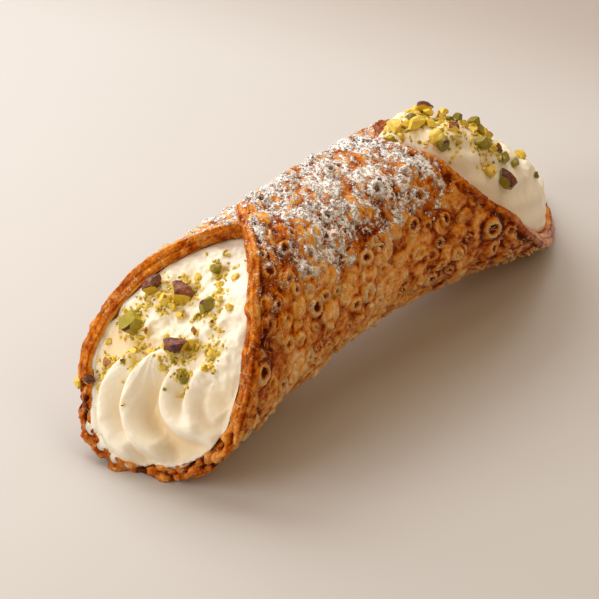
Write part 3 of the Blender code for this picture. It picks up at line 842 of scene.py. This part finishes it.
def chopped_piece(rng, size, kind, detail=3):
    """A rounded kernel with a few flat knife cuts; material 1 is its skin."""
    bm = bmesh.new()
    bmesh.ops.create_icosphere(bm, subdivisions=detail, radius=0.5)
    shift = Vector(rng.uniform(-9, 9, 3).tolist())
    for vert in bm.verts:
        vert.co *= 1.0 + 0.34 * noise.noise(vert.co * 2.0 + shift) + 0.10 * noise.noise(vert.co * 6.0 + shift)
    skinned = {"skin": 1.1, "brown": 0.35, "half": 0.5, "green": -0.8, "yellow": -1.0}[kind]
    for face in bm.faces:
        place = face.calc_center_median()
        face.material_index = 1 if place.z * 1.4 + place.x * 0.6 > 0.32 - skinned * 0.5 else 0
    cuts = 4 if kind != "skin" else 3
    for k in range(cuts):
        angle = math.tau * (k + rng.uniform(-0.25, 0.25)) / cuts
        tip = rng.uniform(-0.3, 0.9) if kind != "skin" else rng.uniform(-0.40, 0.20)
        normal = Vector((math.cos(angle), math.sin(angle), tip)).normalized()
        cut = bmesh.ops.bisect_plane(
            bm, geom=bm.verts[:] + bm.edges[:] + bm.faces[:], dist=1e-5,
            plane_co=normal * float(rng.uniform(0.26, 0.42)), plane_no=normal, clear_outer=True)
        rim = [e for e in cut["geom_cut"] if isinstance(e, bmesh.types.BMEdge)]
        if len(rim) > 2:
            for face in bmesh.ops.edgenet_fill(bm, edges=rim)["faces"]:
                face.material_index = 0
    sharp = [e for e in bm.edges if e.is_manifold and e.calc_face_angle() > 0.5]
    bmesh.ops.bevel(bm, geom=sharp, offset=0.07, segments=2, affect='EDGES',
                    clamp_overlap=True)
    bmesh.ops.triangulate(bm, faces=bm.faces)
    bmesh.ops.recalc_face_normals(bm, faces=bm.faces)
    corners = np.array([vert.co for vert in bm.verts])
    low, high = corners.min(axis=0), corners.max(axis=0)
    for vert, place in zip(bm.verts, (corners - (low + high) / 2) / (high - low) * size):
        vert.co = place
    return bm


def surface_of(*objects):
    bm = bmesh.new()
    for obj in objects:
        bm.from_mesh(obj.data)
    bmesh.ops.triangulate(bm, faces=bm.faces)
    tree = BVHTree.FromBMesh(bm)
    bm.free()
    return tree


def make_pistachios(name, specs, surface, seed, materials):
    rng = np.random.default_rng(seed)
    points, faces, indices, tints = [], [], [], []
    for where, size, spin, kind in specs:
        bm = chopped_piece(rng, size, kind)
        spot = Vector(laid_down(where))
        hit, normal, _, _ = surface.find_nearest(spot)
        turned = normal.to_track_quat('Z', 'X').to_matrix()
        turned = turned @ Matrix.Rotation(math.radians(spin), 3, 'Z')
        turned = turned @ Matrix.Rotation(rng.uniform(-0.35, 0.35), 3, 'X')
        spot = hit + normal * max(size[2] * 0.30 * MM, (spot - hit).dot(normal))
        start = len(points)
        bm.verts.index_update()
        points += [spot + turned @ (vert.co * MM) for vert in bm.verts]
        faces += [tuple(start + v.index for v in face.verts) for face in bm.faces]
        indices += [face.material_index for face in bm.faces]
        tint = rng.uniform(*TINTS[kind])
        tints += [tint] * len(bm.verts)
        bm.free()
    obj = make_object(name, points, faces, materials[0], smooth=False)
    obj.data.materials.append(materials[1])
    obj.data.polygons.foreach_set("material_index", indices)
    add_attribute(obj, "tint", tints)
    return obj


# --- Scattered grains ---------------------------------------------------------

def scatter_tree():
    """Realized copies of one piece over a surface, by a density attribute."""
    tree = bpy.data.node_groups.new("scatter", 'GeometryNodeTree')
    sides = (("Surface", 'INPUT', 'NodeSocketGeometry'), ("Piece", 'INPUT', 'NodeSocketObject'),
             ("Mark", 'INPUT', 'NodeSocketString'), ("Per Square Metre", 'INPUT', 'NodeSocketFloat'),
             ("Smallest", 'INPUT', 'NodeSocketFloat'), ("Largest", 'INPUT', 'NodeSocketFloat'),
             ("Lift", 'INPUT', 'NodeSocketFloat'), ("Seed", 'INPUT', 'NodeSocketInt'),
             ("Material", 'INPUT', 'NodeSocketMaterial'), ("Grains", 'OUTPUT', 'NodeSocketGeometry'))
    for label, side, kind in sides:
        tree.interface.new_socket(name=label, in_out=side, socket_type=kind)
    add, link = tree.nodes.new, tree.links.new
    given = add("NodeGroupInput").outputs
    mark = add("GeometryNodeInputNamedAttribute")
    link(given["Mark"], mark.inputs["Name"])
    density = add("ShaderNodeMath")
    density.operation = 'MULTIPLY'
    link(mark.outputs["Attribute"], density.inputs[0])
    link(given["Per Square Metre"], density.inputs[1])
    spread = add("GeometryNodeDistributePointsOnFaces")
    link(given["Surface"], spread.inputs["Mesh"])
    link(density.outputs[0], spread.inputs["Density"])
    link(given["Seed"], spread.inputs["Seed"])
    raise_by = add("ShaderNodeVectorMath")
    raise_by.operation = 'SCALE'
    link(spread.outputs["Normal"], raise_by.inputs[0])
    link(given["Lift"], raise_by.inputs["Scale"])
    lifted = add("GeometryNodeSetPosition")
    link(spread.outputs["Points"], lifted.inputs["Geometry"])
    link(raise_by.outputs[0], lifted.inputs["Offset"])
    turn = add("FunctionNodeRandomValue")
    turn.data_type = 'FLOAT_VECTOR'
    turn.inputs["Max"].default_value = (math.tau, math.tau, math.tau)
    link(given["Seed"], turn.inputs["Seed"])
    size = add("FunctionNodeRandomValue")
    size.data_type = 'FLOAT'
    small, large = [s for s in size.inputs if s.name in ("Min", "Max") and s.type == 'VALUE'][:2]
    link(given["Smallest"], small)
    link(given["Largest"], large)
    link(given["Seed"], size.inputs["Seed"])
    piece = add("GeometryNodeObjectInfo")
    link(given["Piece"], piece.inputs["Object"])
    copies = add("GeometryNodeInstanceOnPoints")
    link(lifted.outputs[0], copies.inputs["Points"])
    link(piece.outputs["Geometry"], copies.inputs["Instance"])
    link([o for o in turn.outputs if o.type == 'VECTOR'][0], copies.inputs["Rotation"])
    link([o for o in size.outputs if o.type == 'VALUE'][0], copies.inputs["Scale"])
    real = add("GeometryNodeRealizeInstances")
    link(copies.outputs[0], real.inputs[0])
    paint = add("GeometryNodeSetMaterial")
    link(real.outputs[0], paint.inputs["Geometry"])
    link(given["Material"], paint.inputs["Material"])
    link(paint.outputs[0], add("NodeGroupOutput").inputs["Grains"])
    return tree


def scatter(name, tree, surface, material, bm, tint=(0, 1), **inputs):
    """Runs the tree over a copy of a surface and keeps the plain mesh."""
    mesh = bpy.data.meshes.new(name + "_piece")
    bm.to_mesh(mesh)
    bm.free()
    piece = bpy.data.objects.new(name + "_piece", mesh)
    bpy.context.scene.collection.objects.link(piece)
    carrier = bpy.data.objects.new(name + "_carrier", surface.data.copy())
    bpy.context.scene.collection.objects.link(carrier)
    modifier = carrier.modifiers.new("scatter", 'NODES')
    modifier.node_group = tree
    inputs = {"Piece": piece, "Material": material, **inputs}
    for item in tree.interface.items_tree:
        label = item.name.replace(" ", "_")
        if item.in_out == 'INPUT' and label in inputs:
            modifier[item.identifier] = inputs[label]
    graph = bpy.context.evaluated_depsgraph_get()
    result = bpy.data.meshes.new_from_object(carrier.evaluated_get(graph))
    result.name = name
    each = len(mesh.vertices)
    rng = np.random.default_rng(len(result.vertices))
    tints = np.repeat(rng.uniform(*tint, len(result.vertices) // each), each)
    bpy.data.objects.remove(carrier)
    bpy.data.objects.remove(piece)
    obj = bpy.data.objects.new(name, result)
    bpy.context.scene.collection.objects.link(obj)
    add_attribute(obj, "tint", tints)
    return obj


def grain(seed, detail=1, uneven=0.35):
    """One small lump, a metre across, for the trees to scale."""
    bm = bmesh.new()
    bmesh.ops.create_icosphere(bm, subdivisions=detail, radius=0.5)
    for vert in bm.verts:
        vert.co *= 1.0 + uneven * noise.noise(vert.co * 3.0 + Vector((seed, seed * 2, 1)))
        vert.co.z *= 0.8
    return bm


# --- Camera, light and table --------------------------------------------------

def make_camera():
    azimuth, elevation = math.radians(-47.17), math.radians(34.52)
    back = Vector((math.sin(azimuth) * math.cos(elevation),
                   -math.cos(azimuth) * math.cos(elevation), math.sin(elevation)))
    target = Vector((-3.588, 1.084, 24.22)) * MM
    data = bpy.data.cameras.new("camera")
    data.lens = 253.3
    data.sensor_width = 36.0
    data.shift_x = -0.0706
    data.shift_y = -0.1007
    data.clip_end = 10.0
    camera = bpy.data.objects.new("camera", data)
    camera.location = target + back * 0.810
    camera.rotation_mode = 'QUATERNION'
    camera.rotation_quaternion = (-back).to_track_quat('-Z', 'Y')
    bpy.context.scene.collection.objects.link(camera)
    bpy.context.scene.camera = camera


def make_light(name, azimuth, elevation, away, size, power, color):
    """A round soft light, aimed at the middle; angles in degrees, azimuth from +X."""
    around, up = math.radians(azimuth), math.radians(elevation)
    offset = Vector((math.cos(around) * math.cos(up), math.sin(around) * math.cos(up),
                     math.sin(up))) * away
    data = bpy.data.lights.new(name, 'AREA')
    data.shape = 'DISK'
    data.size = size
    data.energy = power
    data.color = color
    light = bpy.data.objects.new(name, data)
    light.location = Vector((0, 0, 0.02)) + offset
    light.rotation_mode = 'QUATERNION'
    light.rotation_quaternion = offset.to_track_quat('Z', 'Y')
    bpy.context.scene.collection.objects.link(light)


def make_studio():
    make_light("window", 90, 46, 0.30, 0.26, 0.68, (1.0, 1.0, 1.0))
    make_light("ceiling", 50, 60, 0.60, 0.44, 0.85, (1.0, 1.0, 1.0))
    make_light("back", 0, 60, 0.50, 0.37, 0.50, (1.0, 1.0, 1.0))
    make_light("side", 158, 22, 0.34, 0.25, 0.60, (1.0, 1.0, 1.0))
    make_light("front", -80, 48, 0.60, 0.30, 0.50, (1.0, 0.93, 0.82))
    world = bpy.data.worlds.new("studio")
    world.use_nodes = True
    sky = world.node_tree.nodes["Background"]
    sky.inputs["Color"].default_value = (1.0, 0.52, 0.08, 1.0)
    sky.inputs["Strength"].default_value = 0.315
    bpy.context.scene.world = world
    scene = bpy.context.scene
    scene.view_settings.view_transform = 'Standard'
    scene.view_settings.look = 'None'
    table = bmesh.new()
    bmesh.ops.create_grid(table, x_segments=2, y_segments=2, size=1.5)
    mesh = bpy.data.meshes.new("table")
    table.to_mesh(mesh)
    table.free()
    mesh.materials.append(table_top())
    obj = bpy.data.objects.new("table", mesh)
    bpy.context.scene.collection.objects.link(obj)


# --- Put it together ----------------------------------------------------------

def main():
    make_camera()
    make_studio()
    pastry = make_pastry(fried_pastry())
    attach(pastry, "root")
    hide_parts("pastry_shell")
    cream = make_cream(ricotta())
    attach(cream, "root")
    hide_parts("ricotta_cream")
    surface = surface_of(cream, pastry)
    flesh = (kernel(), kernel_skin())
    tree = scatter_tree()
    for name, specs, seed in (("low", PIECES_LOW, 3), ("high", PIECES_HIGH, 5)):
        nuts = make_pistachios("pistachios_" + name, specs, surface, seed, flesh)
        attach(nuts, "root")
        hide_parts(*[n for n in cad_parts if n.startswith("pistachio_" + name)])
    crumbs = scatter("pistachio_crumbs", tree, cream, flesh[0],
                     grain(2.0, uneven=1.1), tint=(0.2, 1.0), Mark="dust",
                     Per_Square_Metre=2.6e6, Smallest=0.0002, Largest=0.0010,
                     Lift=0.0001, Seed=4)
    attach(crumbs, "root")
    sugar = scatter("sugar_grains", tree, pastry, icing_sugar(), grain(5.0),
                    Mark="sugar", Per_Square_Metre=7.0e6, Smallest=0.00014, Largest=0.00044,
                    Lift=0.00005, Seed=8)
    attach(sugar, "root")


main()
